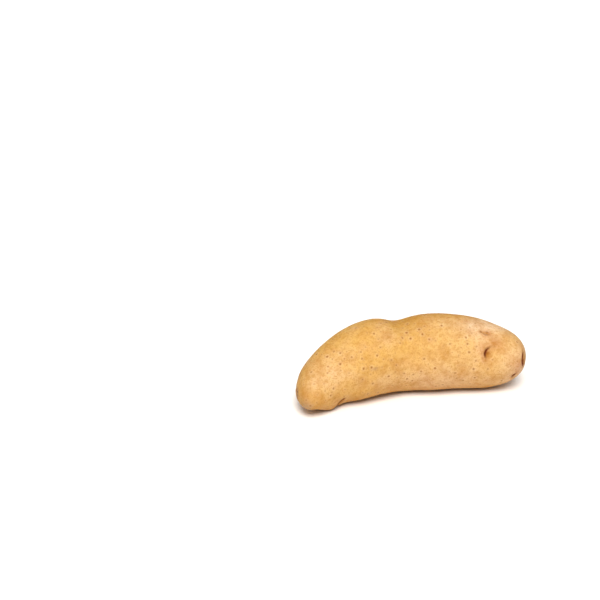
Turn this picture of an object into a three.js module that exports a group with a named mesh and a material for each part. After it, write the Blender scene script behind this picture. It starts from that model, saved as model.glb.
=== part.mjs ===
// A fingerling potato: one bowed tuber, grown in one piece, lying on its side on a flat surface.
//
// Units are millimetres, with +Z up. X runs along the tuber, from the heel at -X, where the
// stolon held it to the plant, to the rose end at +X, where most of the eyes are. The tuber is
// bowed in plan, with its hollow side facing -Y. The origin is on the surface that it rests on,
// under the middle of its box.

import * as THREE from 'three';

// Driving dimensions.
const LENGTH = 105; // tip to tip
const THICKNESS = 34; // of the belly
const BOW = 19; // how far the belly stands back from the line between the tips
const SETTLE = 0.35; // how far the skin is pressed flat where the tuber rests

// How finely the skin is faceted.
const AROUND = 48;
const ALONG = 60;

// The tuber at equal steps from the heel to the rose end. girth is a share of THICKNESS and bow a
// share of BOW. lift is in mm, and lowers the ends until they rest too, although they taper.
const STATIONS = [
  { girth: 0.74, bow: 0.06, lift: -3.8 },
  { girth: 0.84, bow: 0.64, lift: -2.5 },
  { girth: 0.95, bow: 0.85, lift: -0.6 },
  { girth: 1.02, bow: 1, lift: 0.1 },
  { girth: 0.99, bow: 1, lift: 0 },
  { girth: 1.03, bow: 0.85, lift: 0 },
  { girth: 1.01, bow: 0.7, lift: -0.3 },
  { girth: 1.03, bow: 0.43, lift: -1.6 },
  { girth: 1.07, bow: -0.06, lift: -1 },
];

// How squarely each end closes: 2 is an ellipse, and more is blunter.
const HEEL_BLUNTNESS = 4.3;
const ROSE_BLUNTNESS = 4.4;

// Where the skin is sunk, at the eyes and the growth folds, and where it swells, which is a depth
// below zero. along is a share of the length from the heel. around is in degrees about the tuber:
// 0 is the back, 90 the top, 180 the hollow side and 270 the underside. length and width are in
// mm, along and round the tuber, and so is depth.
const HOLLOWS = [
  { name: 'saddle', along: 0.48, around: 88, length: 12, width: 26, depth: 1.5 },
  { name: 'heel lobe', along: 0.09, around: 235, length: 6, width: 10, depth: -0.7 },
  { name: 'heel fold', along: 0.17, around: 220, length: 5, width: 9, depth: 1.4 },
  { name: 'heel valley', along: 0.22, around: 182, length: 9, width: 8, depth: 0.6 },
  { name: 'stolon dimple', along: 0.01, around: 300, length: 4, width: 12, depth: 0.8 },
  { name: 'front eye', along: 0.865, around: 150, length: 7, width: 8, depth: 1 },
  { name: 'top eye', along: 0.845, around: 112, length: 5, width: 5, depth: 0.3 },
  { name: 'rose end eye', along: 0.96, around: 217, length: 4, width: 6, depth: 0.5 },
  { name: 'back rose eye', along: 0.9, around: 345, length: 7, width: 8, depth: 0.9 },
  { name: 'back eye', along: 0.68, around: 25, length: 8, width: 9, depth: 1 },
  { name: 'back heel eye', along: 0.3, around: 345, length: 8, width: 9, depth: 0.8 },
  { name: 'underside eye', along: 0.58, around: 300, length: 7, width: 8, depth: 0.8 },
];

// A smooth curve of one quantity, from 0 at the heel to 1 at the rose end.
function curveOf(quantity) {
  const points = STATIONS.map(
    (station, i) => new THREE.Vector2(i / (STATIONS.length - 1), quantity(station)),
  );
  const curve = new THREE.SplineCurve(points);
  return (t) => curve.getPoint(t).y;
}

const radius = curveOf((station) => (station.girth * THICKNESS) / 2);
const underside = curveOf((station) => station.lift - SETTLE);
const setBack = curveOf((station) => station.bow * BOW);

function centreline(t) {
  return new THREE.Vector3((t - 0.5) * LENGTH, setBack(t), radius(t) + underside(t));
}

// The share of the radius left at t, which is 1 along the belly and 0 at both tips.
function closing(t) {
  const bluntness = t < 0.5 ? HEEL_BLUNTNESS : ROSE_BLUNTNESS;
  return Math.sqrt(Math.max(0, 1 - Math.abs(2 * t - 1) ** bluntness));
}

// How deep all the hollows together sink the skin at one place.
function sunk(t, angle) {
  const sharpness = 4;
  let depth = 0;
  for (const hollow of HOLLOWS) {
    const turn = angle - THREE.MathUtils.degToRad(hollow.around);
    const roundFrom = Math.atan2(Math.sin(turn), Math.cos(turn)) * radius(t);
    const alongFrom = (t - hollow.along) * LENGTH;
    const apart = (alongFrom / hollow.length) ** 2 + (roundFrom / hollow.width) ** 2;
    depth += hollow.depth * Math.exp(-sharpness * apart);
  }
  return depth;
}

// The skin starts as a sphere with its poles at the two tips, and each of its points moves out
// to its place around the centreline.
function skin() {
  const geometry = new THREE.SphereGeometry(1, AROUND, ALONG);
  const points = geometry.getAttribute('position');
  const up = new THREE.Vector3(0, 0, 1);
  const step = 0.001;
  for (let i = 0; i < points.count; i++) {
    const t = THREE.MathUtils.clamp((1 + points.getY(i)) / 2, 0, 1);
    const angle = Math.atan2(points.getZ(i), -points.getX(i));
    const behind = centreline(Math.max(t - step, 0));
    const ahead = centreline(Math.min(t + step, 1)).sub(behind).normalize();
    const back = new THREE.Vector3().crossVectors(up, ahead).normalize();
    const over = new THREE.Vector3().crossVectors(ahead, back);
    const reach = closing(t) * (radius(t) - sunk(t, angle));
    const place = centreline(t)
      .addScaledVector(back, reach * Math.cos(angle))
      .addScaledVector(over, reach * Math.sin(angle));
    // What would reach below the surface is pressed flat on it.
    points.setXYZ(i, place.x, place.y, Math.max(place.z, 0));
  }
  geometry.computeVertexNormals();
  return geometry;
}

function tuber() {
  const material = new THREE.MeshStandardMaterial({ color: 0xf0b66c, roughness: 0.55, metalness: 0 });
  const mesh = new THREE.Mesh(skin(), material);
  mesh.name = 'potato';
  const middle = new THREE.Box3().setFromObject(mesh).getCenter(new THREE.Vector3());
  mesh.position.set(-middle.x, -middle.y, 0);
  return mesh;
}

const potato = new THREE.Group();
potato.add(tuber());

export default potato;
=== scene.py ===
"""A fingerling potato: one bowed tuber, lying on its side on a pale studio floor."""

import itertools
import math
import random
from typing import NamedTuple

import bmesh
import bpy
import numpy as np
from bpy.props import FloatProperty, FloatVectorProperty, IntProperty, PointerProperty
from bpy.types import Operator, Panel, PropertyGroup
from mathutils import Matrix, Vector, noise
from mathutils.bvhtree import BVHTree
from mathutils.kdtree import KDTree


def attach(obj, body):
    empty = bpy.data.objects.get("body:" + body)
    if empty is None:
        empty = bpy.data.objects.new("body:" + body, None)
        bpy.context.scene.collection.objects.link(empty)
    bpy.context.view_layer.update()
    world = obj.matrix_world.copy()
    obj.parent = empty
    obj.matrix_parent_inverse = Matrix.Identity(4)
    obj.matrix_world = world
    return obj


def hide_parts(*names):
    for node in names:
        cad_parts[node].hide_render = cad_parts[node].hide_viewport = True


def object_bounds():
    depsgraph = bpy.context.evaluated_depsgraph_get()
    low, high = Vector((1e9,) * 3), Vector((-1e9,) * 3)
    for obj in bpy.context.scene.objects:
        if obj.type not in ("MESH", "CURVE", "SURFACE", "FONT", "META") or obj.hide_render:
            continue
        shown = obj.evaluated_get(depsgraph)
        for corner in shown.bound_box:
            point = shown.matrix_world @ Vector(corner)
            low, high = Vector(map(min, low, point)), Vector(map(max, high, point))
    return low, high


bl_info = {
    "name": "Fingerling Potato",
    "version": (1, 0, 0),
    "blender": (4, 5, 0),
    "location": "View3D > Sidebar > Potato",
    "description": "Grows a fingerling potato over its packed solid and sets it on a studio floor",
    "category": "Add Mesh",
}

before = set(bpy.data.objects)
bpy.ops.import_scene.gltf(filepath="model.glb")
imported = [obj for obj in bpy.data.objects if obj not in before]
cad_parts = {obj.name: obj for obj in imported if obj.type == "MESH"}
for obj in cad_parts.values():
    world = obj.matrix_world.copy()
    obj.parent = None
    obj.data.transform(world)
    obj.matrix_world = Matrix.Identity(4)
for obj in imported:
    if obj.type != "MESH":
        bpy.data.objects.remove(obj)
CAD_LOW, CAD_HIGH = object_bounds()
MM = 0.001
LENGTH = CAD_HIGH.x - CAD_LOW.x
HEIGHT = CAD_HIGH.z - CAD_LOW.z


# ---------------------------------------------------------------------------------------------
# What grows where on the tuber. A place is given by along, the share of the length from the
# heel, and around, in degrees about the tuber: 0 is the back, 90 the top, 180 the hollow side
# and 270 the underside. A third value, lean, turns the line that finds the place towards the rose
# end, by that many degrees.
# ---------------------------------------------------------------------------------------------


class Eye(NamedTuple):
    """A crescent crease under a low brow, with a hollow on its rose end side and a bud in it."""

    name: str
    along: float
    around: float
    size: float  # half of the crease's length, in mm
    depth: float  # in mm
    width: float  # half of the crease's width, in mm
    turn: float  # degrees that the crease is turned about the skin's normal
    tone: float  # how dark the crease is painted, for its brown and the shade in it. Past 1 it is wider.
    stain: float  # how brown its hollow is. Past 1 it is wider.


EYES = (
    Eye("front", 0.802, 155.5, 2.9, 1.3, 0.55, -34, 1.1, 1.0),
    Eye("top", 0.81, 123, 1.9, 0.22, 0.34, 66, 0.46, 0.5),
    Eye("top lid", 0.823, 119.5, 1.3, 0.12, 0.32, -124, 0.4, 0.3),
    Eye("rose tip", 0.96, 170, 3.1, 0.9, 1.1, 4, 1.0, 1.2),
    Eye("rose low", 0.918, 199, 1.7, 0.6, 0.8, -45, 0.9, 1.3),
    Eye("rose back", 0.955, 343, 2.2, 0.8, 0.55, 10, 0.9, 0.8),
    Eye("rose under", 0.94, 262, 1.7, 0.5, 0.45, -10, 0.8, 0.6),
    Eye("rose top", 0.968, 62, 1.7, 0.6, 0.45, 20, 0.8, 0.6),
    Eye("back", 0.69, 24, 2.5, 1.0, 0.5, 8, 0.9, 0.9),
    Eye("heel back", 0.265, 344, 2.2, 0.8, 0.45, -8, 0.8, 0.7),
    Eye("under", 0.59, 302, 2.0, 0.7, 0.42, 5, 0.7, 0.6),
    Eye("heel under", 0.36, 238, 1.6, 0.4, 0.38, -12, 0.6, 0.5),
)


class Groove(NamedTuple):
    """A fold in the skin along a path of places, each with its depth and half width in mm."""

    name: str
    stops: tuple  # (along, around, depth, half width)
    tone: float  # how dark its bottom and how brown its sides are painted, as painted shade in the fold. Past 1 the dark part is wider.


GROOVES = (
    Groove(
        "heel fold",
        (
            (0.166, 234, 1.3, 1.1),
            (0.175, 227, 1.6, 1.1),
            (0.185, 220.5, 1.4, 1.0),
            (0.197, 213.5, 0.2, 0.9),
        ),
        1.5,
    ),
    Groove(
        "heel valley",
        (
            (0.2, 211, 0.15, 2.0),
            (0.246, 192, 0.4, 2.6),
            (0.29, 181, 0.3, 3.0),
            (0.34, 172, 0.0, 3.0),
        ),
        0.0,
    ),
)


class Swelling(NamedTuple):
    """A place where the skin stands out from the solid, or back from it."""

    along: float
    around: float
    length: float  # half of it, in mm, along the tuber
    width: float  # half of it, in mm, round the tuber
    height: float  # in mm


SWELLINGS = (
    Swelling(0.06, 240, 4, 7, -1.3),
    Swelling(0.145, 234, 3.2, 5, 0.75),
    Swelling(0.485, 82, 6, 10, -0.6),
    Swelling(0.93, 78, 8, 9, -0.6),
    Swelling(0.99, 175, 5, 7, 0.7),
)


class Mark(NamedTuple):
    """A soft stain, or a patch of painted shade, on one of the skin's masks."""

    mask: str
    along: float
    around: float
    length: float  # half of it, in mm, along the tuber
    width: float  # half of it, in mm, round the tuber
    amount: float


MARKS = (
    Mark("cream", 0.84, 98, 19, 7, 1.0),
    Mark("cream", 0.93, 180, 12, 13, 0.8),
    Mark("cream", 0.1, 150, 12, 9, 0.35),
    Mark("cream", 0.62, 205, 20, 5, 0.35),
    Mark("cream", 0.45, 190, 18, 8, 0.3),
    Mark("cream", 0.66, 165, 14, 10, 0.25),
    # Painted shade and a painted warm reflection along the top-back edge.
    Mark("brown", 0.61, 76, 24, 6, 0.5),
    Mark("blush", 0.845, 134, 3.4, 2.6, 0.8),
    Mark("brown", 0.835, 141, 1.6, 1.6, 0.55),
    Mark("blush", 0.778, 161, 1.0, 3.2, 0.8),
    Mark("brown", 0.774, 165, 0.6, 0.6, 0.7),
    Mark("brown", 0.787, 169, 0.7, 0.7, 0.7),
    Mark("brown", 0.83, 138.5, 0.8, 0.6, 0.5),
    Mark("crease", 0.792, 121, 0.7, 0.5, 0.55),
    Mark("brown", 0.792, 121, 1.2, 1.0, 0.7),
    Mark("blush", 0.925, 183, 1.8, 3.0, 1.0),
    # Dark crescents at the rose end's eyes, painted as their brown and the shade in them.
    Mark("crease", 0.958, 183, 0.6, 0.8, 0.8),
    Mark("crease", 0.958, 163, 0.5, 0.7, 0.6),
    Mark("brown", 0.958, 156, 1.0, 1.8, 0.9),
    Mark("crease", 0.959, 157, 0.6, 0.9, 1.0),
    Mark("crease", 0.917, 199.5, 0.8, 0.6, 0.7),
    Mark("brown", 0.818, 121, 0.5, 0.5, 0.5),
    Mark("brown", 0.319, 168, 1.8, 0.8, 0.3),
    Mark("grey", 0.319, 168, 1.8, 0.8, 0.5),
    Mark("brown", 0.684, 92, 0.7, 0.5, 0.9),
    Mark("brown", 0.118, 195, 0.9, 0.35, 0.75),
    Mark("brown", 0.146, 200, 0.8, 0.3, 0.6),
    Mark("grey", 0.02, 200, 2.4, 3.0, 0.6),
    # Brown at the heel's end, spread out as painted shade on its rim.
    Mark("brown", 0.015, 160, 3.5, 9.0, 0.45),
    Mark("brown", 0.975, 166, 2.0, 3.5, 0.4),
    # Painted shade on the rose end, which faces away from the front light.
    Mark("grey", 0.985, 150, 5, 10, 0.3),
    Mark("brown", 0.69, 206, 3.5, 1.2, 0.35),
    Mark("brown", 0.56, 20, 3.0, 1.6, 0.4),
    Mark("grey", 0.42, 330, 2.4, 1.2, 0.3),
)

# Where the stolon broke off, at the heel's tip, as (along, around, lean).
STOLON_SCAR = (0.03, 190, -70)


# ---------------------------------------------------------------------------------------------
# What a user would change
# ---------------------------------------------------------------------------------------------


def colour(name, description, default):
    """A colour that a user may change."""
    return FloatVectorProperty(
        name=name, description=description, default=default, subtype="COLOR", size=3, min=0, max=1
    )


def length(name, description, default):
    """A length that a user may change, in metres."""
    return FloatProperty(
        name=name, description=description, default=default, min=0, unit="LENGTH", precision=5
    )


def angle(name, description, degrees):
    """An angle that a user may change."""
    return FloatProperty(
        name=name, description=description, default=math.radians(degrees), subtype="ANGLE"
    )


class TuberSizes(PropertyGroup):
    """Sizes of the tuber's surface"""

    mesh_step: length("Mesh step", "Edge length of most of the skin's faces", 0.54 * MM)
    swell: length("Swell", "How far the skin swells and sinks at random", 0.22 * MM)
    swell_size: length("Swell size", "How far apart these swellings are", 15 * MM)
    pore_radius: length("Pore radius", "Radius of the strongest pores", 0.52 * MM)
    pore_gap: length("Pore gap", "Least distance between two pores", 2.9 * MM)
    pores: IntProperty(name="Pores", description="Number of pores", default=640, min=0)
    seed: IntProperty(name="Seed", description="Picks another set of pores", default=7)


class SkinColours(PropertyGroup):
    """Colours of the skin, as light reflected"""

    yellow: colour("Yellow", "Most of the skin", (0.62, 0.35, 0.089))
    cream: colour("Cream", "Paler patches", (0.72, 0.49, 0.28))
    blush: colour("Blush", "Pinkish patches", (0.54, 0.28, 0.14))
    # Tan also paints shade towards the floor, along the top-back edge, round the heel fold and on the
    # heel end's rim.
    tan: colour("Tan", "Mottling and stains", (0.38, 0.14, 0.008))
    pore: colour("Pore", "Pores", (0.25, 0.08, 0.006))
    # Crease paints the creases' brown and the shade in them, in the eyes and the heel fold.
    crease: colour("Crease", "The bottom of the eyes' creases", (0.1, 0.011, 0.001))
    # Grey also paints shade right at the floor and on the rose end.
    grey: colour("Grey", "Scuffs and the stolon's scar", (0.27, 0.2, 0.15))


class StageSettings(PropertyGroup):
    """The floor, the lights and the camera"""

    azimuth: angle("Azimuth", "Where the camera stands", -17)
    elevation: angle("Elevation", "How far it looks down", 25)
    distance: length("Distance", "From the camera to the point it aims at", 0.615)
    aim_along: FloatProperty(
        name="Aim along", description="The point aimed at, as a share of the length", default=-0.465
    )
    aim_up: FloatProperty(
        name="Aim up", description="The point aimed at, as a share of the height", default=1.51
    )
    lens: FloatProperty(name="Lens", description="Focal length in mm", default=85, min=10)
    floor_size: length("Floor size", "Width of the floor", 12.0)
    floor: colour("Floor", "The floor's colour", (0.95, 0.92, 0.88))
    low_sky: FloatProperty(name="Low sky", description="Light from the horizon", default=0.03, min=0)
    high_sky: FloatProperty(name="High sky", description="Light from straight up", default=0.6, min=0)
    key: FloatProperty(name="Key", description="Strength of the front light", default=3.6, min=0)
    key_height: angle("Key height", "How high the front light is", 54)
    key_spread: angle("Key spread", "How wide the front light is", 30)


# ---------------------------------------------------------------------------------------------
# Finding places on the surface
# ---------------------------------------------------------------------------------------------


class Surface:
    """The skin as it is before it is sculpted, to find places on."""

    def __init__(self, mesh):
        self.points = points_of(mesh)
        polygons = [tuple(p.vertices) for p in mesh.polygons]
        self.tree = BVHTree.FromPolygons([tuple(p) for p in self.points], polygons)

    def middle(self, along):
        """The middle of the tuber at that share of its length."""
        half_slab = 2 * MM
        x = CAD_LOW.x + along * LENGTH
        slab = self.points[np.abs(self.points[:, 0] - x) < half_slab]
        low, high = slab.min(0), slab.max(0)
        return Vector((x, (low[1] + high[1]) / 2, (low[2] + high[2]) / 2))

    def place(self, along, around, lean=0.0):
        """A point on the skin and the skin's normal there."""
        turn, tip = math.radians(around), math.radians(lean)
        line = Vector((math.sin(tip), math.cos(tip) * math.cos(turn), math.cos(tip) * math.sin(turn)))
        point, normal, _, _ = self.tree.ray_cast(self.middle(along), line)
        if point is None:
            raise RuntimeError(f"no skin at along {along}, around {around}")
        return point, normal


def points_of(mesh):
    """A mesh's vertices as an array."""
    flat = np.empty(len(mesh.vertices) * 3, np.float32)
    mesh.vertices.foreach_get("co", flat)
    return flat.reshape(-1, 3).astype(float)


def normals_of(mesh):
    """The normals at a mesh's vertices as an array."""
    flat = np.empty(len(mesh.vertices) * 3, np.float32)
    mesh.vertex_normals.foreach_get("vector", flat)
    return flat.reshape(-1, 3).astype(float)


def put_points(mesh, points):
    """Moves a mesh's vertices to these points."""
    mesh.vertices.foreach_set("co", points.astype(np.float32).ravel())
    mesh.update()


def bell(x, width=1.0):
    """1 in the middle, falling smoothly to 0."""
    return np.exp(-((x / width) ** 2))


def local(points, point, normal, turn=0.0):
    """Points as seen from a place on the skin, in mm: towards the rose end, round the tuber, and
    out along the normal. The first two are turned about the normal by turn, in degrees."""
    out = np.array(normal)
    ahead = np.array([1.0, 0.0, 0.0]) - out[0] * out
    ahead /= np.linalg.norm(ahead)
    side = np.cross(out, ahead)
    c, s = math.cos(math.radians(turn)), math.sin(math.radians(turn))
    ahead, side = c * ahead + s * side, c * side - s * ahead
    off = (points - np.array(point)) / MM
    return off @ ahead, off @ side, off @ out


# ---------------------------------------------------------------------------------------------
# The tuber's mesh
# ---------------------------------------------------------------------------------------------


def even_mesh(node, step):
    """The CAD solid's shape as a mesh of even quads."""
    bm = bmesh.new()
    bm.from_mesh(node.data)
    bmesh.ops.remove_doubles(bm, verts=bm.verts, dist=0.001 * MM)
    mesh = bpy.data.meshes.new("tuber_blank")
    bm.to_mesh(mesh)
    bm.free()
    blank = bpy.data.objects.new("tuber_blank", mesh)
    bpy.context.scene.collection.objects.link(blank)
    remesh = blank.modifiers.new("Even quads", "REMESH")
    remesh.mode = "VOXEL"
    remesh.voxel_size = step
    bpy.context.view_layer.update()
    even = bpy.data.meshes.new_from_object(blank.evaluated_get(bpy.context.evaluated_depsgraph_get()))
    bpy.data.objects.remove(blank)
    bpy.data.meshes.remove(mesh)
    return even


def smooth(bm, verts, rounds):
    """Moves each vertex halfway to the middle of its neighbours, a number of times."""
    for _ in range(rounds):
        bmesh.ops.smooth_vert(
            bm, verts=verts, factor=0.5, use_axis_x=True, use_axis_y=True, use_axis_z=True
        )


def refine(bm, spots):
    """Halves the faces' edges near each spot, which is a point and a radius."""
    near = set()
    for point, radius in spots:
        for face in bm.faces:
            if (face.calc_center_median() - point).length < radius:
                near.add(face)
    edges = list({edge for face in near for edge in face.edges})
    made = bmesh.ops.subdivide_edges(bm, edges=edges, cuts=1, use_grid_fill=True, smooth=0.0)
    verts = {g for g in made["geom_inner"] if isinstance(g, bmesh.types.BMVert)}
    smooth(bm, list(verts), 2)


def fine_spots(surface):
    """Where the skin has fine shapes: each eye, the heel fold and the stolon's scar."""
    spots = [(surface.place(eye.along, eye.around)[0], (1.7 * eye.size + 1) * MM) for eye in EYES]
    heel_fold = GROOVES[0]
    for along, around, _, _ in heel_fold.stops:
        spots.append((surface.place(along, around)[0], 3 * MM))
    spots.append((surface.place(*STOLON_SCAR)[0], 4 * MM))
    return spots


def refined_mesh(mesh, spots):
    """Smooths out the solid's facets, and makes the mesh twice as fine near the spots and again in
    their middles."""
    smoothing_rounds = 24
    middle = 0.55
    bm = bmesh.new()
    bm.from_mesh(mesh)
    smooth(bm, bm.verts, smoothing_rounds)
    refine(bm, spots)
    refine(bm, [(point, middle * radius) for point, radius in spots])
    bm.to_mesh(mesh)
    bm.free()


# ---------------------------------------------------------------------------------------------
# Sculpting. A relief is how far the skin is moved out, in mm. The masks say where the skin's
# material puts its stains, creases and painted shade, from 0 to 1.
# ---------------------------------------------------------------------------------------------


def unevenness(points, surface, sizes):
    """Broad, gentle swellings at random, and the listed ones."""
    out = np.empty(len(points))
    for i, p in enumerate(points):
        broad = noise.noise(Vector(p) / sizes.swell_size)
        fine = noise.noise(Vector(p) / (sizes.swell_size / 3) + Vector((9, 5, 2)))
        out[i] = broad + 0.25 * fine
    out *= sizes.swell / MM
    for swelling in SWELLINGS:
        u, v, w = local(points, *surface.place(swelling.along, swelling.around))
        out += swelling.height * bell(u, swelling.length) * bell(v, swelling.width) * bell(w, 6.0)
    return out


def eye_relief(eye, points, surface, masks):
    """A crease with a steep wall on its heel side, a low brow behind it, and a hollow that rises
    slowly towards the rose end, with a small bud."""
    point, normal = surface.place(eye.along, eye.around)
    u, v, w = local(points, point, normal, eye.turn)
    reach = bell(w, 6.0)
    # off is the distance from the crease, which is bent to a crescent.
    off = u - 0.4 * v**2 / eye.size + 0.3 * eye.size
    x, y = off / eye.size, v / eye.size
    ends = np.exp(-(np.abs(y) / 1.05) ** 3)
    wall = bell(x, 0.26)
    floor = np.exp(-((np.abs(x) / 1.2) ** 1.5))
    hollow = np.where(x < 0, wall, floor) * ends
    brow = bell(x + 0.7, 0.42) * bell(y, 0.9)
    bud = bell(x - 0.42, 0.2) * bell(y + 0.05, 0.24)
    # The crease is thicker and darker towards one end.
    thick = 1 - 0.5 * np.clip(y, -1, 1)
    line = bell(off - 0.1, eye.width * thick) * np.minimum(thick + 0.1, 1)
    # The crease's bottom is painted dark: its brown and painted shade in the recess.
    masks["crease"] += eye.tone * line * np.exp(-(np.abs(y) / 0.9) ** 4) * reach
    masks["crease"] += 0.25 * eye.tone * bud * reach
    masks["brown"] += eye.stain * bell(x - 0.35, 0.55) * bell(y + 0.2, 0.75) * reach
    masks["blush"] += 0.6 * bell(x + 0.3, 1.2) * bell(y, 1.6) * reach
    return reach * eye.depth * (0.2 * brow - hollow + 0.22 * bud)


def groove_relief(groove, points, surface, masks):
    """A fold along the groove's path, with its depth and width blended between the stops."""
    steps = 24
    stops = groove.stops
    nearest = np.full(len(points), np.inf)
    depth, width = np.zeros(len(points)), np.ones(len(points))
    for a, b in zip(stops, stops[1:]):
        for k in range(steps):
            along, around, deep, wide = np.array(a) + (np.array(b) - np.array(a)) * k / steps
            point, _ = surface.place(along, around)
            far = np.linalg.norm(points - np.array(point), axis=1) / MM
            closer = far < nearest
            nearest[closer] = far[closer]
            depth[closer], width[closer] = deep, wide
    fold = bell(nearest, width)
    # Painted shade: the fold's bottom is painted dark and the skin round it browner.
    masks["crease"] += groove.tone * bell(nearest, 0.6 * width) * np.minimum(depth / 0.8, 1)
    masks["brown"] += 0.6 * groove.tone * bell(nearest, 1.3 * width) * np.minimum(depth, 1)
    return -depth * fold


def stolon_scar_relief(points, surface, masks):
    """The dimple at the heel where the stolon broke off, with a corky rim and a stub."""
    point, normal = surface.place(*STOLON_SCAR)
    u, v, w = local(points, point, normal)
    far = np.hypot(u, v)
    here = bell(w, 5.0)
    masks["grey"] += 0.8 * here * bell(far, 2.4)
    masks["brown"] += 0.7 * here * bell(far - 2.1, 0.6)
    masks["crease"] += 0.8 * here * bell(far - 0.9, 0.35)
    return here * (0.25 * bell(far - 2.4, 0.8) - 0.8 * bell(far, 1.7) + 0.7 * bell(far, 0.6))


def paint_marks(points, surface, masks):
    """Adds the soft stains to the masks."""
    for mark in MARKS:
        u, v, w = local(points, *surface.place(mark.along, mark.around))
        here = bell(u, mark.length) * bell(v, mark.width) * bell(w, 8.0)
        masks[mark.mask] += mark.amount * here


def scatter_pores(mesh, surface, sizes):
    """Picks the pores' centres at random on the skin. No two are closer than the gap, and none is
    in an eye."""
    eye_margin = 1.3
    tries = 12 * sizes.pores
    rng = random.Random(sizes.seed)
    eyes = [(surface.place(e.along, e.around)[0], eye_margin * e.size * MM) for e in EYES]
    sums = np.cumsum([p.area for p in mesh.polygons])
    centres = []
    cells = {}

    def cell_of(point):
        return tuple(int(math.floor(c / sizes.pore_gap)) for c in point)

    def crowded(point):
        x, y, z = cell_of(point)
        steps = itertools.product((-1, 0, 1), repeat=3)
        near = [other for i, j, k in steps for other in cells.get((x + i, y + j, z + k), ())]
        return any((point - other).length < sizes.pore_gap for other in near)

    for _ in range(tries):
        if len(centres) >= sizes.pores:
            break
        face = mesh.polygons[int(np.searchsorted(sums, rng.random() * sums[-1]))]
        point = face.center.copy()
        in_eye = any((point - eye).length < radius for eye, radius in eyes)
        if not in_eye and not crowded(point):
            centres.append(point)
            cells.setdefault(cell_of(point), []).append(point)
    return centres


def paint_pores(mesh, points, centres, sizes):
    """Stores, for each vertex, how far and which way it is from the nearest pore, in mm, and how
    strong that pore is. The way to it changes evenly over a face, so a pore stays round on coarse
    faces. Returns the pores' relief."""
    rng = random.Random(sizes.seed + 1)
    strengths = [0.1 + 0.9 * rng.random() ** 2 for _ in centres]
    tree = KDTree(len(centres))
    for i, centre in enumerate(centres):
        tree.insert(centre, i)
    tree.balance()
    away = np.empty((len(points), 3), np.float32)
    strong = np.empty(len(points), np.float32)
    for i, p in enumerate(points):
        centre, index, _ = tree.find(p)
        away[i] = (p - np.array(centre)) / MM
        strong[i] = strengths[index]
    mesh.attributes.new("pore_away", "FLOAT_VECTOR", "POINT").data.foreach_set("vector", away.ravel())
    mesh.attributes.new("pore_strength", "FLOAT", "POINT").data.foreach_set("value", strong)
    far = np.linalg.norm(away, axis=1)
    radius = sizes.pore_radius / MM
    return strong * (0.05 * bell(far - 1.6 * radius, radius) - 0.09 * bell(far, radius))


def sculpt(mesh, sizes):
    """Moves the even mesh's skin in and out, and paints its masks."""
    surface = Surface(mesh)
    points, normals = points_of(mesh), normals_of(mesh)
    masks = {name: np.zeros(len(points)) for name in ("crease", "brown", "blush", "cream", "grey")}
    lost_to_smoothing = 0.1
    out = unevenness(points, surface, sizes) + lost_to_smoothing
    for eye in EYES:
        out += eye_relief(eye, points, surface, masks)
    for groove in GROOVES:
        out += groove_relief(groove, points, surface, masks)
    out += stolon_scar_relief(points, surface, masks)
    paint_marks(points, surface, masks)
    # Painted shade: towards the floor the skin is browner, and greyer right at it, for the shade and
    # contact shadow under the tuber.
    height = points[:, 2] / MM
    masks["brown"] += 0.6 * np.exp(-height / 7)
    masks["grey"] += 0.2 * bell(height, 1.6)
    centres = scatter_pores(mesh, surface, sizes)
    out += paint_pores(mesh, points, centres, sizes)
    # The skin keeps its place where it rests on the floor.
    free_height = 2 * MM
    free = np.clip(points[:, 2] / free_height, 0, 1)
    moved = points + normals * (out * free * MM)[:, None]
    moved[:, 2] = np.maximum(moved[:, 2], 0)
    put_points(mesh, moved)
    for name, values in masks.items():
        attribute = mesh.attributes.new(name, "FLOAT", "POINT")
        attribute.data.foreach_set("value", np.clip(values, 0, 1).astype(np.float32))


# ---------------------------------------------------------------------------------------------
# Shader node groups and materials
# ---------------------------------------------------------------------------------------------


class Nodes:
    """Adds nodes to a tree and links them in one go. An input may be a value or a socket."""

    def __init__(self, tree):
        self.tree = tree

    def add(self, kind, inputs=None, **settings):
        node = self.tree.nodes.new(kind)
        for name, value in settings.items():
            setattr(node, name, value)
        for key, value in (inputs or {}).items():
            self.feed(node.inputs[key], value)
        return node

    def feed(self, socket, value):
        if isinstance(value, bpy.types.NodeSocket):
            self.tree.links.new(value, socket)
        elif hasattr(value, "__len__") and socket.type == "RGBA" and len(value) == 3:
            socket.default_value = (*value, 1)
        else:
            socket.default_value = value

    def maths(self, operation, *values, clamp=False):
        node = self.add("ShaderNodeMath", operation=operation, use_clamp=clamp)
        for socket, value in zip(node.inputs, values):
            self.feed(socket, value)
        return node.outputs[0]

    def noise(self, vector, scale, detail=2.0, roughness=0.5):
        node = self.add(
            "ShaderNodeTexNoise",
            {"Vector": vector, "Scale": scale, "Detail": detail, "Roughness": roughness},
        )
        return node.outputs["Fac"]

    def ramp(self, value, low, high, to_low=0.0, to_high=1.0):
        inputs = {0: value, 1: low, 2: high, 3: to_low, 4: to_high}
        return self.add("ShaderNodeMapRange", inputs, interpolation_type="SMOOTHSTEP").outputs[0]

    def mix(self, factor, a, b):
        node = self.add("ShaderNodeMix", data_type="RGBA", blend_type="MIX")
        self.feed(node.inputs[0], factor)
        self.feed(node.inputs[6], a)
        self.feed(node.inputs[7], b)
        return node.outputs[2]

    def attribute(self, name, output="Fac"):
        return self.add("ShaderNodeAttribute", attribute_name=name).outputs[output]


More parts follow.
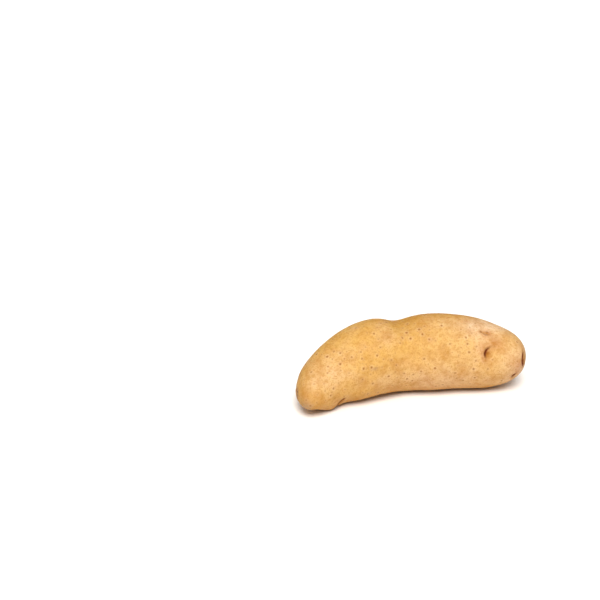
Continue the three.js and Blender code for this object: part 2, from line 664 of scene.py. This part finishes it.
def patches_group():
    """Soft, irregular patches of a given size."""
    tree = bpy.data.node_groups.new("Soft patches", "ShaderNodeTree")
    face = tree.interface
    face.new_socket("Vector", in_out="INPUT", socket_type="NodeSocketVector")
    for name, default in (("Per mm", 0.1), ("Detail", 2.0), ("From", 0.45), ("To", 0.65)):
        face.new_socket(name, in_out="INPUT", socket_type="NodeSocketFloat").default_value = default
    face.new_socket("Mask", in_out="OUTPUT", socket_type="NodeSocketFloat")
    n = Nodes(tree)
    given = n.add("NodeGroupInput")
    scale = n.maths("MULTIPLY", given.outputs["Per mm"], 1 / MM)
    field = n.noise(given.outputs["Vector"], scale, given.outputs["Detail"])
    mask = n.ramp(field, given.outputs["From"], given.outputs["To"])
    n.add("NodeGroupOutput", {"Mask": mask})
    return tree


def pores_group(radius):
    """Round pores with a pale halo, from the pores' attributes."""
    tree = bpy.data.node_groups.new("Pores", "ShaderNodeTree")
    face = tree.interface
    face.new_socket("Vector", in_out="INPUT", socket_type="NodeSocketVector")
    for name in ("Spot", "Halo", "Relief"):
        face.new_socket(name, in_out="OUTPUT", socket_type="NodeSocketFloat")
    n = Nodes(tree)
    given = n.add("NodeGroupInput")
    strength = n.attribute("pore_strength")
    away = n.attribute("pore_away", "Vector")
    far = n.add("ShaderNodeVectorMath", {0: away}, operation="LENGTH").outputs["Value"]
    ragged = n.noise(given.outputs["Vector"], 1.6 / MM, 2.0)
    far = n.maths("ADD", far, n.maths("MULTIPLY", n.maths("SUBTRACT", ragged, 0.5), 0.5))
    size = n.maths("MULTIPLY_ADD", strength, 0.55 * radius, 0.55 * radius)
    share = n.maths("DIVIDE", far, size)
    spot = n.maths("MULTIPLY", n.ramp(share, 0.25, 1.45, 1, 0), strength)
    halo = n.maths("MULTIPLY", n.ramp(share, 1.3, 3.2, 1, 0), strength)
    relief = n.maths("SUBTRACT", n.maths("MULTIPLY", halo, 0.5), spot)
    n.add("NodeGroupOutput", {"Spot": spot, "Halo": halo, "Relief": relief})
    return tree


def skin_colour(n, place, pores, colours):
    """Yellow skin with cream and pinkish patches, tan mottling, stains, pores and brown creases, with
    painted shade in the creases and folds, towards the floor, along the top-back edge, on the heel
    end's rim and on the rose end.
    """
    patches = patches_group()

    def soft(per_mm, low, high, detail=2.0):
        inputs = {"Vector": place, "Per mm": per_mm, "Detail": detail, "From": low, "To": high}
        return n.add("ShaderNodeGroup", inputs, node_tree=patches).outputs[0]

    def share(mask, most):
        return n.maths("MULTIPLY", mask, most)

    pale = n.maths("ADD", share(soft(0.06, 0.42, 0.7), 0.35), n.attribute("cream"), clamp=True)
    skin = n.mix(pale, colours.yellow, colours.cream)
    pink = n.maths("ADD", share(soft(0.09, 0.5, 0.75, 3.0), 0.3), n.attribute("blush"), clamp=True)
    skin = n.mix(share(pink, 0.75), skin, colours.blush)
    # Mottling of three sizes: patches per mm, where they start and end, their detail and strength.
    for per_mm, low, high, detail, most in (
        (0.17, 0.42, 0.72, 2.0, 0.34),
        (0.6, 0.42, 0.72, 4.0, 0.36),
        (1.5, 0.48, 0.7, 3.0, 0.42),
    ):
        skin = n.mix(share(soft(per_mm, low, high, detail), most), skin, colours.tan)
    # The brown, grey and crease masks carry painted shade as well as stains and scars.
    for mask, most, tint in (
        (n.attribute("brown"), 0.85, colours.tan),
        (n.attribute("grey"), 0.7, colours.grey),
        (pores.outputs["Halo"], 0.2, colours.cream),
        (pores.outputs["Spot"], 0.85, colours.pore),
        (n.attribute("crease"), 0.97, colours.crease),
    ):
        skin = n.mix(share(mask, most), skin, tint)
    return skin


def skin_bump(n, place, pores):
    """The normal of a fine grain, a coarser peel and the pores."""
    grain = n.noise(place, 2.6 / MM, 3.0, 0.6)
    peel = n.noise(place, 0.8 / MM, 2.0)
    height = n.maths("ADD", n.maths("MULTIPLY", grain, 0.35), n.maths("MULTIPLY", peel, 0.65))
    height = n.maths("ADD", height, n.maths("MULTIPLY", pores.outputs["Relief"], 0.5))
    bump = n.add("ShaderNodeBump", {"Height": height, "Strength": 0.38, "Distance": 0.12 * MM})
    return bump.outputs[0]


def skin_material(colours, sizes):
    """The potato's skin: thin, dull and a little waxy, and duller still in the creases."""
    material = bpy.data.materials.new("potato_skin")
    material.use_nodes = True
    material.node_tree.nodes.clear()
    n = Nodes(material.node_tree)
    place = n.add("ShaderNodeTexCoord").outputs["Object"]
    pores = n.add("ShaderNodeGroup", node_tree=pores_group(sizes.pore_radius / MM))
    n.feed(pores.inputs["Vector"], place)
    rough = n.ramp(n.noise(place, 0.4 / MM, 3.0), 0.3, 0.7, 0.56, 0.68)
    rough = n.maths("ADD", rough, n.maths("MULTIPLY", n.attribute("crease"), 0.3), clamp=True)
    shader = n.add(
        "ShaderNodeBsdfPrincipled",
        {
            "Base Color": skin_colour(n, place, pores, colours),
            "Roughness": rough,
            "Normal": skin_bump(n, place, pores),
            "Specular IOR Level": 0.14,
            "Subsurface Weight": 0.12,
            "Subsurface Radius": (2.0, 0.9, 0.35),
            "Subsurface Scale": MM,
        },
    )
    n.add("ShaderNodeOutputMaterial", {"Surface": shader.outputs[0]})
    return material


def plain_material(name, base, roughness):
    """One colour all over."""
    material = bpy.data.materials.new(name)
    material.use_nodes = True
    shader = material.node_tree.nodes["Principled BSDF"]
    shader.inputs["Base Color"].default_value = (*base, 1)
    shader.inputs["Roughness"].default_value = roughness
    shader.inputs["Specular IOR Level"].default_value = 0.2
    return material


# ---------------------------------------------------------------------------------------------
# Operators
# ---------------------------------------------------------------------------------------------


class MESH_OT_grow_tuber(Operator):
    """Grows the tuber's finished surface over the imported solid"""

    bl_idname = "mesh.grow_tuber"
    bl_label = "Grow the tuber"

    def execute(self, context):
        sizes, colours = context.scene.potato_sizes, context.scene.potato_colours
        mesh = even_mesh(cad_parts["potato"], sizes.mesh_step)
        mesh.name = "tuber"
        mesh.materials.clear()
        refined_mesh(mesh, fine_spots(Surface(mesh)))
        sculpt(mesh, sizes)
        mesh.shade_smooth()
        mesh.materials.append(skin_material(colours, sizes))
        tuber = bpy.data.objects.new("tuber", mesh)
        context.scene.collection.objects.link(tuber)
        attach(tuber, "root")
        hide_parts("potato")
        return {"FINISHED"}


def front_light(strength, spread, direction):
    """A soft light from far away, so that it lights the whole floor evenly."""
    data = bpy.data.lights.new("key", "SUN")
    data.energy = strength
    data.angle = spread
    light = bpy.data.objects.new("key", data)
    light.location = direction
    light.rotation_euler = (-direction).to_track_quat("-Z", "Y").to_euler()
    bpy.context.scene.collection.objects.link(light)


def away_from(target, azimuth, elevation, distance):
    """A point that far from the target. Azimuth 0 is on the -Y side, and 90 on the +X side."""
    flat = math.cos(elevation)
    back = Vector((math.sin(azimuth) * flat, -math.cos(azimuth) * flat, math.sin(elevation)))
    return Vector(target) + back * distance


def studio_sky(low, high):
    """White light from all round, stronger from above. To the camera it looks evenly white."""
    world = bpy.data.worlds.new("studio")
    world.use_nodes = True
    n = Nodes(world.node_tree)
    direction = n.add("ShaderNodeTexCoord").outputs["Generated"]
    up = n.add("ShaderNodeSeparateXYZ", {0: direction}).outputs["Z"]
    background = world.node_tree.nodes["Background"]
    background.inputs["Color"].default_value = (1, 1, 1, 1)
    seen = n.add("ShaderNodeLightPath").outputs["Is Camera Ray"]
    n.feed(background.inputs["Strength"], n.maths("MAXIMUM", seen, n.ramp(up, 0, 0.9, low, high)))
    return world


class SCENE_OT_potato_stage(Operator):
    """Lays the floor, sets the sky and the front light, and sets up the camera"""

    bl_idname = "scene.potato_stage"
    bl_label = "Set the stage"

    def execute(self, context):
        stage = context.scene.potato_stage
        bm = bmesh.new()
        bmesh.ops.create_grid(bm, x_segments=1, y_segments=1, size=stage.floor_size / 2)
        mesh = bpy.data.meshes.new("floor")
        bm.to_mesh(mesh)
        bm.free()
        mesh.materials.append(plain_material("pale_floor", stage.floor, 0.7))
        floor = bpy.data.objects.new("floor", mesh)
        context.scene.collection.objects.link(floor)

        context.scene.world = studio_sky(stage.low_sky, stage.high_sky)
        key_from = away_from((0, 0, 0), stage.azimuth, stage.key_height, 1)
        front_light(stage.key, stage.key_spread, key_from)

        camera = bpy.data.objects.new("camera", bpy.data.cameras.new("camera"))
        camera.data.lens = stage.lens
        camera.data.sensor_width = 36
        camera.data.clip_start = 0.01
        aim = Vector((stage.aim_along * LENGTH, 0, stage.aim_up * HEIGHT))
        camera.location = away_from(aim, stage.azimuth, stage.elevation, stage.distance)
        camera.rotation_euler = (aim - camera.location).to_track_quat("-Z", "Y").to_euler()
        context.scene.collection.objects.link(camera)
        context.scene.camera = camera
        context.scene.view_settings.view_transform = "Standard"
        return {"FINISHED"}


class VIEW3D_PT_potato(Panel):
    """The potato's settings and steps"""

    bl_label = "Fingerling potato"
    bl_idname = "VIEW3D_PT_potato"
    bl_space_type = "VIEW_3D"
    bl_region_type = "UI"
    bl_category = "Potato"

    def draw(self, context):
        for group in (
            context.scene.potato_sizes,
            context.scene.potato_colours,
            context.scene.potato_stage,
        ):
            box = self.layout.box()
            for name in group.__annotations__:
                box.prop(group, name)
        self.layout.operator(MESH_OT_grow_tuber.bl_idname)
        self.layout.operator(SCENE_OT_potato_stage.bl_idname)


CLASSES = (
    TuberSizes,
    SkinColours,
    StageSettings,
    MESH_OT_grow_tuber,
    SCENE_OT_potato_stage,
    VIEW3D_PT_potato,
)


def register():
    for cls in CLASSES:
        bpy.utils.register_class(cls)
    bpy.types.Scene.potato_sizes = PointerProperty(type=TuberSizes)
    bpy.types.Scene.potato_colours = PointerProperty(type=SkinColours)
    bpy.types.Scene.potato_stage = PointerProperty(type=StageSettings)


def unregister():
    del bpy.types.Scene.potato_sizes
    del bpy.types.Scene.potato_colours
    del bpy.types.Scene.potato_stage
    for cls in reversed(CLASSES):
        bpy.utils.unregister_class(cls)


def main():
    register()
    bpy.ops.mesh.grow_tuber()
    bpy.ops.scene.potato_stage()
    bpy.context.view_layer.update()


if __name__ == "__main__":
    main()
